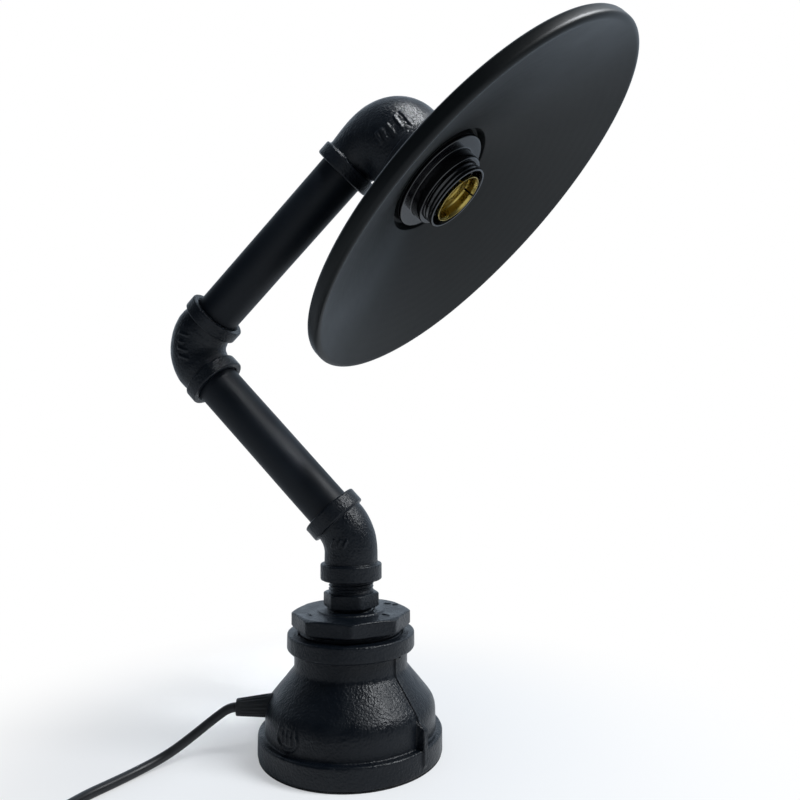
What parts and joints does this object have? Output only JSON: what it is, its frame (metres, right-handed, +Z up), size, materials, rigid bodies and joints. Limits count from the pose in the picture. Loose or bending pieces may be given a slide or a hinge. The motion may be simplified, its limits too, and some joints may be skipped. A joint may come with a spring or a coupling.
{
  "type": "pipe table lamp",
  "caption": "Table lamp of black pipe fittings on a cast reducing coupling, with swivelling arms and a shallow conical shade over a screw lampholder.",
  "frame": {"origin": "centre of the base on the surface it stands on", "axes": "+Z up; the lower pipe leans towards -X and the shade hangs over +X; -Y is the front, from which the mouth of the shade is seen"},
  "size_m": [0.2941, 0.301, 0.3812],
  "materials": {
    "casting": "semi-gloss black paint over a cast skin, slightly pebbled",
    "pipe": "smooth satin black paint",
    "shade": "satin black outside and inside",
    "ring": "glossy black",
    "holder": "glossy black",
    "insulation": "unglazed off-white ceramic, matte",
    "brass": "bright rolled brass",
    "brass_plated": "nickel plated",
    "steel": "zinc plated",
    "foam": "matte foam",
    "grip": "matte black, fluted",
    "cord": "black, smooth, slightly glossy",
    "core": "brown and blue insulation",
    "switch_shell": "satin black, finely textured",
    "rocker": "black, polished",
    "plug": "satin black"
  },
  "bodies": {
    "root": {"base_pad": "foam", "reducing_coupling": "casting", "octagon_bushing": "casting", "hex_nipple": "casting", "strain_relief": "grip", "strain_relief_nut": "grip", "base_lead": "cord", "cord_to_switch": "cord", "switch_lower_shell": "switch_shell", "switch_upper_shell": "switch_shell", "switch_screws": "steel", "switch_terminals": "brass", "switch_contact_blade": "brass", "cord_to_coil": "cord", "cord_coil": "cord", "cord_tail": "cord", "plug_body": "plug", "plug_pins": "brass_plated"},
    "rocker": {"switch_rocker": "rocker"},
    "lower_arm": {"elbow_45": "casting", "lower_pipe": "pipe", "lower_lead": "cord"},
    "upper_arm": {"middle_elbow": "casting", "upper_pipe": "pipe", "upper_lead": "cord"},
    "head": {"head_elbow": "casting", "locking_screw": "steel", "holder_cap": "holder", "holder_body": "holder", "holder_insert": "insulation", "screw_shell": "brass", "centre_contact": "brass", "side_contact": "brass", "terminal_blocks": "brass", "terminal_screws": "steel", "insert_screws": "steel", "holder_cores": "core", "head_lead": "cord", "shade": "shade", "shade_ring": "ring"}
  },
  "joints": [
    {"name": "arm_swivel", "type": "hinge", "parent": "root", "child": "lower_arm", "pos_m": [0, 0, 0.09638], "axis": [0, 0, 1], "range_deg": [-150, 150]},
    {"name": "elbow_swivel", "type": "hinge", "parent": "lower_arm", "child": "upper_arm", "pos_m": [-0.10559, 0, 0.23621], "axis": [-0.6807, 0, 0.7325], "range_deg": [-30, 30]},
    {"name": "head_swivel", "type": "hinge", "parent": "upper_arm", "child": "head", "pos_m": [0.02472, -0.02945, 0.3573], "axis": [0.7227, -0.1633, 0.6716], "range_deg": [-90, 90]},
    {"name": "rocker_tilt", "type": "hinge", "parent": "root", "child": "rocker", "pos_m": [-0.047, -0.205, 0.0116], "axis": [0, -1, 0], "range_deg": [0, 16]}
  ]
}
